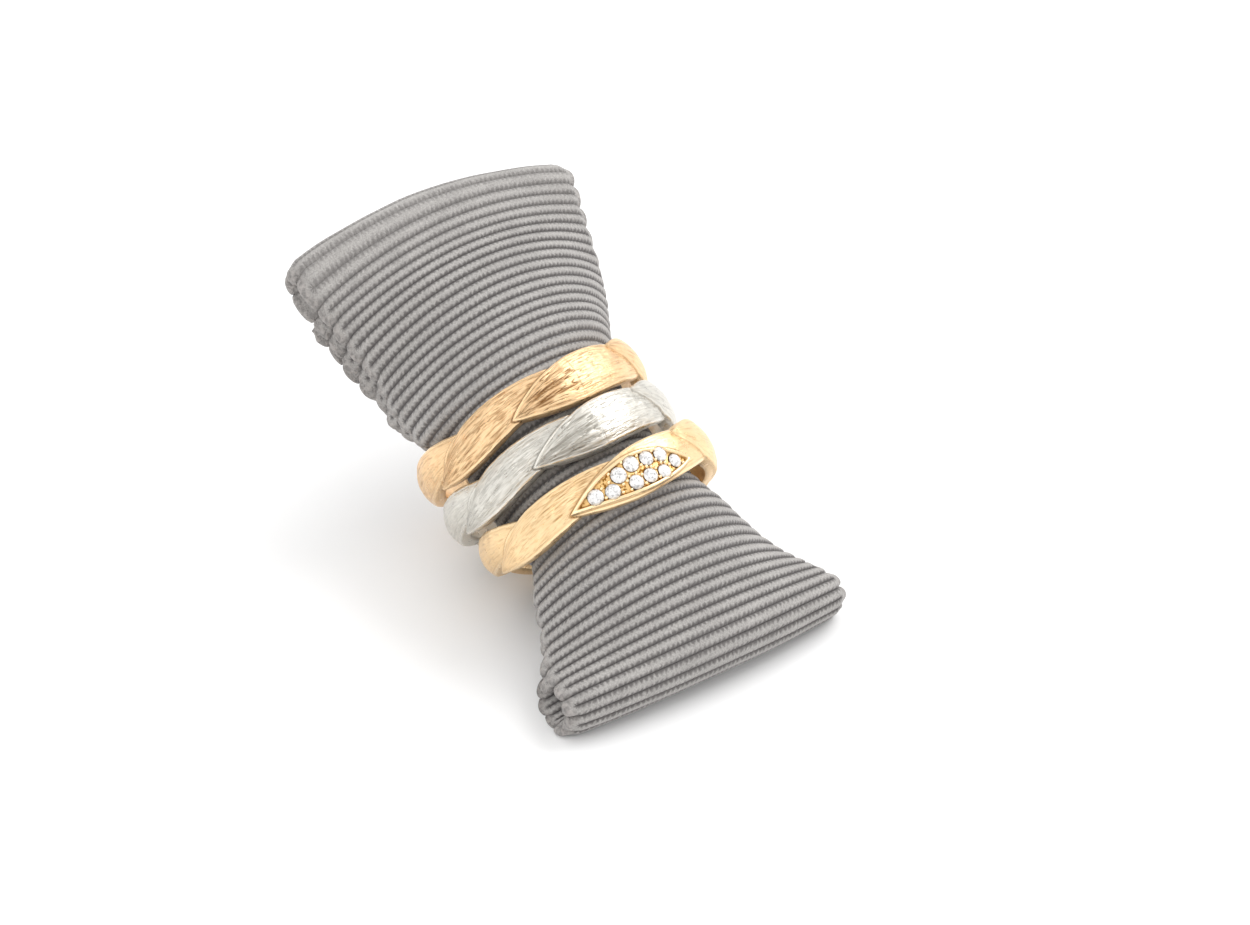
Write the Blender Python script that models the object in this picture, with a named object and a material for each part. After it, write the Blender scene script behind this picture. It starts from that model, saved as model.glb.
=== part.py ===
"""Three nested leaf band rings on a ribbed cloth roll, tilted with its near end on the table.

+X runs along the roll to its near end, +Y across it, +Z up. Lengths are in millimetres until
they are written to a mesh, which is in metres.
"""
import math

import bmesh
import bpy
from mathutils import Matrix, Vector

MM = 0.001

# Roll of cloth: a ribbed strip wound flat in three layers
ROLL_TILT = 27.0
ROLL_HEIGHT = 12.07
FAR_END = -22.2
NEAR_END = 21.3
UNDER_LAYER_END = -19.4
FAR_BOW = 2.0
NEAR_BOW = 0.8
THICKNESS = 5.2
LAYERS = 3
RIB_PITCH = 0.83
RIB_HEIGHT = 0.22
SELVAGE_BULGE = 0.45
SCALLOP = 0.2
FOLD_TURNS = (30, 58, 85)
SETTLE_HEIGHT = 0.4
UNDER_SAG = 0.85
SAG_START = 13.0
TOP_STEPS = 12
UNDER_STEPS = 8

# Cross-sections of the roll, from its far end to its near end. along: place on the roll's axis,
# half_width: half of its outer width, crown: its top above the axis, bend: how far each side
# curls down from the top, in degrees, side: how far the section lies off the axis towards +Y.
SECTIONS = [
    {"along": -23.0, "half_width": 13.2, "crown": 2.6, "bend": 6.0, "side": 0.7},
    {"along": -17.0, "half_width": 12.8, "crown": 2.9, "bend": 32.0, "side": 0.8},
    {"along": -11.5, "half_width": 11.4, "crown": 3.6, "bend": 68.0, "side": 0.8},
    {"along": -7.5, "half_width": 9.4, "crown": 4.4, "bend": 98.0, "side": 0.5},
    {"along": -4.0, "half_width": 7.7, "crown": 4.95, "bend": 115.0, "side": 0.1},
    {"along": 3.2, "half_width": 7.5, "crown": 4.85, "bend": 108.0, "side": 0.0},
    {"along": 7.5, "half_width": 7.7, "crown": 6.3, "bend": 108.0, "side": 0.0},
    {"along": 10.5, "half_width": 9.9, "crown": 5.9, "bend": 98.0, "side": 0.2},
    {"along": 14.0, "half_width": 12.3, "crown": 4.6, "bend": 66.0, "side": 0.4},
    {"along": 18.0, "half_width": 13.1, "crown": 3.3, "bend": 27.0, "side": 0.3},
    {"along": 22.0, "half_width": 13.0, "crown": 2.6, "bend": 4.0, "side": 0.1},
]

# Rings: along and above place the centre in the roll's own frame, lean is the angle of the
# ring's axis below level, yaw turns it towards -Y and spin turns the leaves round the band.
RINGS = [
    {"name": "rose_gold_ring", "along": -3.3, "above": -3.1, "lean": 31.5, "yaw": 0.5, "spin": 2.0,
     "on_table": False, "tray": False, "color": (0.93, 0.66, 0.44)},
    {"name": "white_gold_ring", "along": 0.9, "above": -3.1, "lean": 32.5, "yaw": 1.5, "spin": -1.5,
     "on_table": True, "tray": False, "color": (0.86, 0.85, 0.82)},
    {"name": "yellow_gold_ring", "along": 5.5, "above": -1.2, "lean": 38.0, "yaw": 0.5, "spin": -4.5,
     "on_table": True, "tray": True, "color": (0.95, 0.77, 0.46)},
]
BORE_RADIUS = 8.5
BORE_SIDES = 60
BORE_LENGTH = 20.0
EDGE_RADIUS = 9.45

# Leaf relief: how far a leaf domes, lifts at its tip and sinks at its stem, and its low ridges
LEAF_DOME = 0.5
TIP_LIFT = 0.26
STEM_DROP = 0.22
RIDGE_HEIGHT = 0.05
TIP_CUT = 0.012
TIP_FULLNESS = 0.85
INSIDE_BORE = 0.4
LEAF_STEPS = 14
LEAF_COLUMNS = 6

# Leaves of a ring. tip and stem are angles from the ring's top towards +Y, in degrees. tip_x,
# bow_x and stem_x bend the leaf's middle line along the ring's axis, with + to the near end.
# half is the leaf's half width, blunt says how far from its tip it is widest, and taper how much
# it narrows to its stem, in degrees of a cosine.
LEAVES = [
    {"tip": -90, "stem": 14, "tip_x": 1.8, "bow_x": -0.3, "stem_x": -0.6,
     "half": 1.65, "blunt": 0.35, "taper": 85},
    {"tip": -37, "stem": 62, "tip_x": 1.25, "bow_x": -0.3, "stem_x": -0.3,
     "half": 1.95, "blunt": 0.42, "taper": 63},
    {"tip": 27, "stem": 118, "tip_x": -1.5, "bow_x": 0.3, "stem_x": 0.6,
     "half": 1.8, "blunt": 0.3, "taper": 63},
    {"tip": 92, "stem": 182, "tip_x": 1.5, "bow_x": 0.1, "stem_x": -0.7,
     "half": 1.6, "blunt": 0.5, "taper": 63},
    {"tip": 150, "stem": 240, "tip_x": 1.3, "bow_x": 0.1, "stem_x": -0.6,
     "half": 1.45, "blunt": 0.5, "taper": 63},
    {"tip": 212, "stem": 302, "tip_x": 0.4, "bow_x": -1.0, "stem_x": 0.3,
     "half": 1.5, "blunt": 0.5, "taper": 63},
]
TRAY_LEAF = 1

# Tray for the stones in the yellow ring's front leaf. TRAY_START and TRAY_END are places from
# the leaf's tip to its stem, and TRAY_CORNER rounds the tray's ends.
TRAY_RIM = 0.42
TRAY_INSET = 0.04
TRAY_START = 0.1
TRAY_END = 0.68
TRAY_CORNER = 6
TRAY_STEPS = 12
TRAY_NARROWEST = 0.12
TRAY_FOOT_RADIUS = 8.8
TRAY_FLOOR_RADIUS = 9.78
TRAY_RIM_RADIUS = 10.1
ABOVE_RIM = 1.0

# Round brilliants: angle from the ring's top and place along its axis, then the diameter
STONES = [
    {"angle": -23.0, "along": 0.85, "diameter": 1.25},
    {"angle": -15.0, "along": 1.05, "diameter": 1.2},
    {"angle": -9.5, "along": 0.1, "diameter": 1.25},
    {"angle": -2.0, "along": -0.3, "diameter": 1.25},
    {"angle": 6.0, "along": -0.25, "diameter": 1.15},
    {"angle": 13.5, "along": -0.15, "diameter": 1.15},
    {"angle": -3.5, "along": 1.15, "diameter": 1.15},
    {"angle": 4.0, "along": 1.1, "diameter": 1.15},
    {"angle": 11.5, "along": 1.2, "diameter": 1.1},
    {"angle": 19.5, "along": 0.7, "diameter": 1.1},
]
GIRDLE_RADIUS = 9.86
STONE_SIDES = 8

# Cut of a stone, upwards: radius and height in stone radii, and a turn in eighths
STONE_CUT = [
    {"radius": 0.04, "height": -0.78, "turn": 0.0},
    {"radius": 1.0, "height": -0.03, "turn": 0.0},
    {"radius": 1.0, "height": 0.03, "turn": 0.0},
    {"radius": 0.78, "height": 0.24, "turn": 0.5},
    {"radius": 0.56, "height": 0.33, "turn": 0.0},
]

# Seat drilled under a stone: a cone below the girdle and a straight wall above it
SEAT_GAP = 0.06
SEAT_TIP_RADIUS = 0.12
SEAT_DEPTH = 0.52
SEAT_SHOULDER = -0.06
SEAT_TOP = 0.6

CLOTH_COLOR = (0.42, 0.41, 0.41)
DIAMOND_COLOR = (0.95, 0.96, 0.98)
CLOTH_ROUGHNESS = 0.9
METAL_ROUGHNESS = 0.3
SHARP_ANGLE = 40.0


def clear_scene():
    for old in list(bpy.data.objects):
        bpy.data.objects.remove(old, do_unlink=True)


def material(name, color, metallic, roughness, transmission=0.0):
    made = bpy.data.materials.new(name)
    made.use_nodes = True
    shader = made.node_tree.nodes["Principled BSDF"]
    shader.inputs["Base Color"].default_value = (*color, 1.0)
    shader.inputs["Metallic"].default_value = metallic
    shader.inputs["Roughness"].default_value = roughness
    shader.inputs["Transmission Weight"].default_value = transmission
    return made


def new_object(name, mesh, collection):
    made = bpy.data.objects.new(name, mesh)
    collection.objects.link(made)
    return made


def loft_mesh(name, rings):
    """Closed mesh through rings of points, in millimetres, with a face over each end."""
    work = bmesh.new()
    rows = [[work.verts.new(Vector(point) * MM) for point in ring] for ring in rings]
    count = len(rows[0])
    for first, second in zip(rows, rows[1:]):
        for side in range(count):
            after = (side + 1) % count
            work.faces.new((first[side], first[after], second[after], second[side]))
    work.faces.new(list(reversed(rows[0])))
    work.faces.new(rows[-1])
    bmesh.ops.triangulate(work, faces=work.faces[:])
    bmesh.ops.recalc_face_normals(work, faces=work.faces[:])
    mesh = bpy.data.meshes.new(name)
    work.to_mesh(mesh)
    work.free()
    return mesh


def roll_matrix():
    """From the roll's own frame, with x along it and z out of its top, to the world."""
    turn = Matrix.Rotation(math.radians(ROLL_TILT), 4, "Y")
    return Matrix.Translation((0.0, 0.0, ROLL_HEIGHT)) @ turn


def section_at(along):
    """Smooth values between the rows of SECTIONS."""
    last = len(SECTIONS) - 2
    low = 0
    while low < last and SECTIONS[low + 1]["along"] < along:
        low += 1
    before = SECTIONS[max(low - 1, 0)]
    start = SECTIONS[low]
    end = SECTIONS[low + 1]
    after = SECTIONS[min(low + 2, len(SECTIONS) - 1)]
    span = end["along"] - start["along"]
    t = min(max((along - start["along"]) / span, 0.0), 1.0)
    values = {}
    for key in ("half_width", "crown", "bend", "side"):
        slope_in = (end[key] - before[key]) / (end["along"] - before["along"]) * span
        slope_out = (after[key] - start[key]) / (after["along"] - start["along"]) * span
        values[key] = (
            (2 * t ** 3 - 3 * t ** 2 + 1) * start[key]
            + (t ** 3 - 2 * t ** 2 + t) * slope_in
            + (3 * t ** 2 - 2 * t ** 3) * end[key]
            + (t ** 3 - t ** 2) * slope_out
        )
    return values


def roll_point(along, across, offset, widen=0.0):
    """Point of the bent slab. across runs from -1 to 1, offset from the underside to the top."""
    section = section_at(along)
    bend = math.radians(section["bend"])
    widest = math.sin(min(bend, math.pi / 2))
    middle_radius = section["half_width"] / widest - THICKNESS / 2
    angle = across * bend + math.copysign(widen / middle_radius, across)
    radius = middle_radius + offset
    height = section["crown"] - THICKNESS / 2 - middle_radius + radius * math.cos(angle)
    end_bow, end = (NEAR_BOW, NEAR_END) if along > 0 else (-FAR_BOW, FAR_END)
    bow = end_bow * (along / end) ** 2 * (1 - across * across)
    return Vector((along + bow, section["side"] + radius * math.sin(angle), height))


def roll_depth(along):
    """Offsets of the roll's underside and top. Below, it is a layer short at the far end and
    sags on to the table at the near end."""
    half = THICKNESS / 2
    if along < UNDER_LAYER_END:
        return THICKNESS / LAYERS - half, half
    sag = UNDER_SAG * max(along - SAG_START, 0.0) / (NEAR_END - SAG_START)
    return -half - sag, half


def roll_stations():
    """Places along the roll, with the slab's thickness factor, rib relief and rib number."""
    far_fold = THICKNESS / LAYERS
    near_fold = THICKNESS / 2
    start = FAR_END + far_fold
    end = NEAR_END - near_fold
    ribs = round((end - start) / RIB_PITCH)
    fold_turns = [math.radians(turn) for turn in FOLD_TURNS]
    stations = [(start - far_fold * math.sin(turn), math.cos(turn), 0.0, 0) for turn in reversed(fold_turns)]
    for half_rib in range(2 * ribs + 1):
        relief = -RIB_HEIGHT / 2 if half_rib % 2 else RIB_HEIGHT / 2
        stations.append((start + (end - start) * half_rib / (2 * ribs), 1.0, relief, half_rib // 2))
    stations += [(end + near_fold * math.sin(turn), math.cos(turn), 0.0, ribs) for turn in fold_turns]
    return stations


def roll_section(along, fullness, relief, rib):
    """Outline of the roll at one place: top, one layered side, underside, other side."""
    under, top = roll_depth(along)
    middle = (under + top) / 2
    half = (top - under) / 2 * fullness
    scallop = SCALLOP if rib // 2 % 2 else -SCALLOP
    levels = 2 * LAYERS - 1
    points = []
    for step in range(TOP_STEPS + 1):
        across = -1 + 2 * step / TOP_STEPS
        points.append(roll_point(along, across, middle + half + relief))
    for side in (1, -1):
        for level in range(1, levels + 1):
            offset = side * half * (1 - 2 * level / (levels + 1))
            bulge = SELVAGE_BULGE + scallop if level % 2 else 0.0
            points.append(roll_point(along, side, middle + offset, bulge * fullness))
        if side == 1:
            for step in range(UNDER_STEPS + 1):
                across = 1 - 2 * step / UNDER_STEPS
                points.append(roll_point(along, across, middle - half - relief))
    return points


def settled(point):
    """Cloth this near to the table lies flat on it."""
    height = 0.0 if point.z < SETTLE_HEIGHT else point.z
    return Vector((point.x, point.y, height))


def make_roll(collection):
    to_world = roll_matrix()
    rings = [
        [settled(to_world @ point) for point in roll_section(*station)]
        for station in roll_stations()
    ]
    roll = new_object("display_roll", loft_mesh("display_roll", rings), collection)
    roll.data.materials.append(material("grey_ribbed_cloth", CLOTH_COLOR, 0.0, CLOTH_ROUGHNESS))
    return roll


def leaf_angle(leaf, along):
    return leaf["tip"] + (leaf["stem"] - leaf["tip"]) * along


def leaf_center(leaf, along):
    back = 1 - along
    return back * back * leaf["tip_x"] + 2 * along * back * leaf["bow_x"] + along * along * leaf["stem_x"]


def leaf_half_width(leaf, along):
    """Pointed at the tip, widest at the leaf's blunt value and narrower at the stem."""
    if along < leaf["blunt"]:
        return leaf["half"] * math.sin(math.pi / 2 * along / leaf["blunt"]) ** TIP_FULLNESS
    past_widest = (along - leaf["blunt"]) / (1 - leaf["blunt"])
    return leaf["half"] * math.cos(math.radians(leaf["taper"]) * past_widest)


def ring_point(degrees, radius, along):
    angle = math.radians(degrees)
    return Vector((along, radius * math.sin(angle), radius * math.cos(angle)))


def leaf_mesh(leaf):
    """Domed leaf with low ridges, reaching inside the bore that is cut through it later."""
    inside = BORE_RADIUS - INSIDE_BORE
    rings = []
    for step in range(LEAF_STEPS + 1):
        along = TIP_CUT + (1 - TIP_CUT) * step / LEAF_STEPS
        degrees = leaf_angle(leaf, along)
        center = leaf_center(leaf, along)
        half = leaf_half_width(leaf, along)
        lift = TIP_LIFT - (TIP_LIFT + STEM_DROP) * along
        outline = []
        for column in range(LEAF_COLUMNS + 1):
            across = -1 + 2 * column / LEAF_COLUMNS
            ridge = RIDGE_HEIGHT if column % 2 else -RIDGE_HEIGHT
            radius = EDGE_RADIUS + LEAF_DOME * (1 - across * across) + lift + ridge
            outline.append(ring_point(degrees, radius, center + half * across))
        outline.append(ring_point(degrees, inside, center + half))
        outline.append(ring_point(degrees, inside, center - half))
        rings.append(outline)
    return loft_mesh("leaf", rings)


def tray_block(leaf, inset, bottom, top):
    """Slab in the outline of a leaf, drawn in by inset, between two radii."""
    rings = []
    for step in range(TRAY_STEPS + 1):
        along = TRAY_START + (TRAY_END - TRAY_START) * step / TRAY_STEPS
        from_middle = 2 * step / TRAY_STEPS - 1
        round_end = max(math.sqrt(1 - from_middle ** TRAY_CORNER), TRAY_NARROWEST)
        half = (leaf_half_width(leaf, along) - inset) * round_end
        degrees = leaf_angle(leaf, along)
        center = leaf_center(leaf, along)
        rings.append([
            ring_point(degrees, bottom, center - half),
            ring_point(degrees, bottom, center + half),
            ring_point(degrees, top, center + half),
            ring_point(degrees, top, center - half),
        ])
    return loft_mesh("tray", rings)


def combine(target, tool_mesh, operation, cutters):
    """Boolean of one mesh into an object, applied at once with the exact solver."""
    tool = new_object("tool", tool_mesh, cutters)
    step = target.modifiers.new("step", "BOOLEAN")
    step.operation = operation
    step.solver = "EXACT"
    step.object = tool
    shape = bpy.context.evaluated_depsgraph_get()
    mesh = bpy.data.meshes.new_from_object(target.evaluated_get(shape))
    target.modifiers.clear()
    target.data = mesh
    bpy.data.objects.remove(tool, do_unlink=True)


def bore_mesh():
    work = bmesh.new()
    bmesh.ops.create_cone(
        work, cap_ends=True, segments=BORE_SIDES, radius1=BORE_RADIUS * MM, radius2=BORE_RADIUS * MM,
        depth=BORE_LENGTH * MM, matrix=Matrix.Rotation(math.pi / 2, 4, "Y"),
    )
    mesh = bpy.data.meshes.new("bore")
    work.to_mesh(mesh)
    work.free()
    return mesh


def stone_matrix(stone):
    """Stands a stone's axis on the ring's radius, with its girdle's middle at the origin."""
    turn = Matrix.Rotation(-math.radians(stone["angle"]), 4, "X")
    center = ring_point(stone["angle"], GIRDLE_RADIUS, stone["along"]) * MM
    return Matrix.Translation(center) @ turn


def polygon(radius, height, turn=0.0):
    angles = [2 * math.pi * (side + turn) / STONE_SIDES for side in range(STONE_SIDES)]
    return [(radius * math.cos(angle), radius * math.sin(angle), height) for angle in angles]


def seat_mesh(stone):
    radius = stone["diameter"] / 2 + SEAT_GAP
    rings = [
        polygon(SEAT_TIP_RADIUS, -SEAT_DEPTH),
        polygon(radius, SEAT_SHOULDER),
        polygon(radius, SEAT_TOP),
    ]
    mesh = loft_mesh("seat", rings)
    mesh.transform(stone_matrix(stone))
    return mesh


def stone_mesh(stone):
    """Round brilliant: culet, pavilion, girdle, eight-sided crown and table."""
    size = stone["diameter"] / 2
    rings = [polygon(row["radius"] * size, row["height"] * size, row["turn"]) for row in STONE_CUT]
    return loft_mesh("stone", rings)


def ring_frame(ring):
    """From a ring's own frame, with x along its axis and z to its top, to the world."""
    center = roll_matrix() @ Vector((ring["along"], 0.0, ring["above"]))
    lean = Matrix.Rotation(math.radians(ring["lean"]), 4, "Y")
    yaw = Matrix.Rotation(-math.radians(ring["yaw"]), 4, "Z")
    spin = Matrix.Rotation(-math.radians(ring["spin"]), 4, "X")
    return Matrix.Translation(center * MM) @ yaw @ lean @ spin


def make_ring(ring, collection, cutters):
    first, *others = LEAVES
    band = new_object(ring["name"], leaf_mesh(first), collection)
    for leaf in others:
        combine(band, leaf_mesh(leaf), "UNION", cutters)
    if ring["tray"]:
        leaf = LEAVES[TRAY_LEAF]
        rim = tray_block(leaf, TRAY_INSET, TRAY_FOOT_RADIUS, TRAY_RIM_RADIUS)
        hollow = tray_block(leaf, TRAY_RIM, TRAY_FLOOR_RADIUS, TRAY_RIM_RADIUS + ABOVE_RIM)
        combine(band, rim, "UNION", cutters)
        combine(band, hollow, "DIFFERENCE", cutters)
        for stone in STONES:
            combine(band, seat_mesh(stone), "DIFFERENCE", cutters)
    combine(band, bore_mesh(), "DIFFERENCE", cutters)
    band.data.shade_smooth()
    band.data.set_sharp_from_angle(angle=math.radians(SHARP_ANGLE))
    band.data.materials.append(material(ring["name"] + "_metal", ring["color"], 1.0, METAL_ROUGHNESS))
    band.matrix_world = ring_frame(ring)
    return band


def make_stones(band, collection):
    """Stones of the tray, as children of their ring."""
    clear = material("brilliant", DIAMOND_COLOR, 0.0, 0.0, 1.0)
    for number, stone in enumerate(STONES, start=1):
        gem = new_object(f"diamond_{number:02d}", stone_mesh(stone), collection)
        gem.data.materials.append(clear)
        gem.parent = band
        gem.matrix_local = stone_matrix(stone)


def world_points(piece):
    return [piece.matrix_world @ vertex.co for vertex in piece.data.vertices]


def center_base(pieces, collection):
    """An empty carries the pieces and puts the middle of the whole base at the origin."""
    points = [point for piece in pieces for point in world_points(piece)]
    middle_x = (min(point.x for point in points) + max(point.x for point in points)) / 2
    middle_y = (min(point.y for point in points) + max(point.y for point in points)) / 2
    base = new_object("base", None, collection)
    base.location = (-middle_x, -middle_y, 0.0)
    for piece in pieces:
        piece.parent = base


def main():
    clear_scene()
    collection = bpy.data.collections.new("leaf_rings_on_roll")
    cutters = bpy.data.collections.new("cutters")
    for group in (collection, cutters):
        bpy.context.scene.collection.children.link(group)
    pieces = [make_roll(collection)]
    for ring in RINGS:
        band = make_ring(ring, collection, cutters)
        if ring["tray"]:
            make_stones(band, collection)
        if ring["on_table"]:
            bpy.context.view_layer.update()
            band.location.z -= min(point.z for point in world_points(band))
        pieces.append(band)
    bpy.context.view_layer.update()
    center_base(pieces, collection)


main()
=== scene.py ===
"""Looks of three leaf band rings on a ribbed cloth roll.

Lengths are in millimetres until they are written to a mesh. The roll's own frame has x along
the roll to its near end, y across it and z out of its top.
"""

import math

import bmesh
import bpy
import numpy as np
from mathutils import Matrix, Vector


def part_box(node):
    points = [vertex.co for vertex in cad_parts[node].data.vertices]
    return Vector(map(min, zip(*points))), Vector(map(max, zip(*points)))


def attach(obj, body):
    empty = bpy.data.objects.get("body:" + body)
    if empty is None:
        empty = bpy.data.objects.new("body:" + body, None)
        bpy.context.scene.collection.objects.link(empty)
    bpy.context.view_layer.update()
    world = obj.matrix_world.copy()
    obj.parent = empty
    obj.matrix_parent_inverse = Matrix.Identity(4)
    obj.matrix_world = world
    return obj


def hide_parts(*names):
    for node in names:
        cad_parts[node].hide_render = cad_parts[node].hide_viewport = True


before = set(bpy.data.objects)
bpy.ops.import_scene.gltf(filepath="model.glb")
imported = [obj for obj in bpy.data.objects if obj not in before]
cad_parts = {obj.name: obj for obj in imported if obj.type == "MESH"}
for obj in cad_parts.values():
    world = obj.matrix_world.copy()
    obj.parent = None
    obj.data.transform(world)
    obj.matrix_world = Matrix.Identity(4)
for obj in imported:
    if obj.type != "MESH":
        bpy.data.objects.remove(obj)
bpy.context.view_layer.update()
MM = 0.001
SEED = 7

# Roll, close to the solids: its frame, the middle of the base that it stands on, ends and bend
ROLL_TILT = 27.0
ROLL_HEIGHT = 12.07
BASE_SHIFT = (0.678, -0.458, 0.0)
FAR_END = -22.2
NEAR_END = 21.3
UNDER_LAYER_END = -19.4
MIDDLE_LAYER_END = 17.0
FAR_BOW = 2.0
NEAR_BOW = 0.8
THICKNESS = 5.2
LAYERS = 3
UNDER_SAG = 0.85
SAG_START = 13.0
SECTIONS = {
    "along": (-23.0, -17.0, -11.5, -7.5, -4.0, 3.2, 7.5, 10.5, 14.0, 18.0, 22.0),
    "half_width": (13.2, 13.0, 11.7, 9.6, 7.7, 7.5, 7.7, 9.9, 12.3, 13.1, 13.0),
    "crown": (2.6, 2.9, 3.6, 4.4, 4.95, 4.85, 6.3, 5.9, 4.6, 3.3, 2.6),
    "bend": (6.0, 32.0, 66.0, 96.0, 115.0, 108.0, 108.0, 98.0, 66.0, 27.0, 4.0),
    "side": (0.7, 1.2, 1.6, 1.1, 0.1, 0.0, 0.0, 0.2, 0.4, 0.3, 0.1),
}

# Where the cloth leaves that even shape. A change comes in, or goes out for OUT, over a span of
# distances from the roll's middle, towards its near end for NEAR and its far end otherwise. No
# layer bends past MOST_BEND, and CROWDING is how sharply it stops there.
NEAR_SHIFT = 0.3
FAR_SHIFT = -0.05
SHIFT_SPAN = (0.0, 8.0)
MOST_BEND = 118.0
CROWDING = 8
FAR_FLARE = 0.05
FAR_FLARE_SPAN = (17.0, 21.5)
NEAR_FLARE = 0.04
NEAR_FLARE_SPAN = (12.5, 16.5)
UNDER_NARROWING = 0.045
NARROWING_IN = (8.0, 12.0)
NARROWING_OUT = (18.0, 21.0)
LEFT_SPREAD = 1.9
SPREAD_IN = (4.2, 6.5)
SPREAD_OUT = (9.0, 13.0)
WAIST_BOW = 0.35
WAIST_BOW_IN = (5.5, 8.0)
WAIST_BOW_OUT = (14.0, 18.0)
RIB_SKEW = 0.027
FAR_CROWDING = 0.16
FAR_CROWDING_SPAN = (15.5, 19.5)
FAR_SLACK = 0.4
FAR_TWIST = 0.65
FAR_CORNERS = 0.35
FAR_SLACK_SPAN = (19.3, 21.3)
SOFT_REST = 0.3

# Cloth: one cord runs to and fro across the strip and turns in loops at both selvages. The
# stretches of the strip begin and end at these counts of ribs: the middle layer, the far fold,
# the top, the near fold and the underside.
STRETCHES = (0.0, 45.5, 50.5, 97.5, 105.5, 152.0)
STRIP_HALF_WIDTH = 12.95
LOOP_LENGTH = 1.0
LOOP_NOTCH = 0.38
LOOP_VARIATION = 0.1
LOOP_THINNING = 0.3
CUT_END_SPAN = (1.0, 0.2)
CORD_CREST = 0.8
CORD_WEB = 0.5
CORD_ROUNDNESS = 2.4
CORD_VARIATION = 0.05
CORD_VARIATION_GRID = (190, 12)
CORD_VARIATION_WIDTH = 30.0
WEB_FADE = 0.4
RIB_ROWS = (0.0, 0.06, 0.15, 0.3, 0.5, 0.7, 0.85, 0.94)
HIDDEN_ROWS = (0.0, 0.12, 0.5, 0.88)
INNER_COLUMNS = 25
EDGE_ZONE = 1.4
EDGE_SPACING = (0.12, 0.25, 0.38, 0.5, 0.62, 0.74, 0.85, 0.94, 1.0)
LOOP_SIDE_SPAN = (0.0, 0.6)
LOOP_OUTER_SPAN = (0.35, 0.6)
LOOP_TURN = 0.6
STITCH = 0.42
CLOTH_RELIEF = 0.00006
CLOTH_SHADE = (0.225, 0.213, 0.204)
CLOTH_LIGHT = (0.445, 0.426, 0.408)
# Painted shade: the colour that the grooves between the cords are darkened towards
CLOTH_GROOVE_SHADE = (0.14, 0.13, 0.126)
CLOTH_LOOP = (0.43, 0.395, 0.375)

# Strokes cut into the leaves, by the leaf's number, and plain ones for all others. Each row has
# how many, where along the leaf from 0 to 1, where across it from -1 to 1, how far each stroke
# reaches, its width and its depth. Width and depth vary between the shares below.
CUT_WIDTHS = (0.6, 1.3)
CUT_DEPTHS = (0.5, 1.0)
CUT_DRIFT = (-0.06, 0.06)
ROSE_CUTS = {
    "plain": [(60, (0.0, 1.0), (-0.9, 0.9), (0.4, 1.2), 0.05, 0.04)],
    0: [(150, (0.05, 0.75), (-0.9, 0.95), (0.3, 1.1), 0.05, 0.06)],
    1: [
        (80, (0.05, 0.95), (-0.9, 0.95), (0.4, 1.3), 0.045, 0.045),
        (12, (0.14, 0.32), (-0.45, 0.9), (0.6, 1.4), 0.075, 0.12),
    ],
}
WHITE_CUTS = {
    "plain": [(60, (0.0, 1.0), (-0.9, 0.9), (0.4, 1.2), 0.05, 0.03)],
    0: [(190, (0.05, 0.75), (-0.95, 0.95), (0.4, 1.2), 0.045, 0.04)],
    1: [
        (80, (0.2, 0.95), (-0.9, 0.95), (0.6, 1.6), 0.045, 0.035),
        (22, (0.14, 0.36), (-0.6, 0.9), (0.9, 2.2), 0.07, 0.09),
    ],
}
YELLOW_CUTS = {
    "plain": [(30, (0.0, 1.0), (-0.9, 0.9), (0.3, 0.9), 0.05, 0.03)],
    0: [
        (40, (0.05, 0.4), (-0.9, 0.95), (0.3, 0.8), 0.05, 0.03),
        (60, (0.42, 0.8), (-0.95, 0.5), (0.3, 1.0), 0.055, 0.06),
    ],
}

# Rings, placed as in the solids. Strokes are fine lines along the leaves, sunk by bump and painted
# dark as shade: how strong they are on a leaf, and what share of that they lose towards its stem.
RINGS = [
    {"name": "rose_gold_ring", "along": -3.3, "above": -3.1, "lean": 31.5, "yaw": 0.5, "spin": 2.0,
     "on_table": False, "tray": False, "slot": "rose_gold", "cuts": ROSE_CUTS, "hatching": 0.6,
     "strokes": {0: (0.6, 0.0), 1: (1.0, 0.75)}, "seed": 11},
    {"name": "white_gold_ring", "along": 0.9, "above": -3.1, "lean": 32.5, "yaw": 1.5, "spin": -1.5,
     "on_table": True, "tray": False, "slot": "white_gold", "cuts": WHITE_CUTS, "hatching": 0.6,
     "strokes": {0: (0.5, 0.0), 1: (0.8, 0.5)}, "seed": 12},
    {"name": "yellow_gold_ring", "along": 5.5, "above": -1.2, "lean": 38.0, "yaw": 0.5, "spin": -4.5,
     "on_table": True, "tray": True, "slot": "yellow_gold", "cuts": YELLOW_CUTS, "hatching": 0.35,
     "strokes": {0: (0.35, 0.0), 1: (0.1, 0.0)}, "seed": 13},
]
PLAIN_STROKES = (0.2, 0.0)
STROKE_FADE_SPAN = (0.3, 0.55)
BORE_RADIUS = 8.5
EDGE_RADIUS = 9.45
LEAF_DOME = 0.5
TIP_LIFT = 0.26
STEM_DROP = 0.22
TIP_FULLNESS = 0.85
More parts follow.
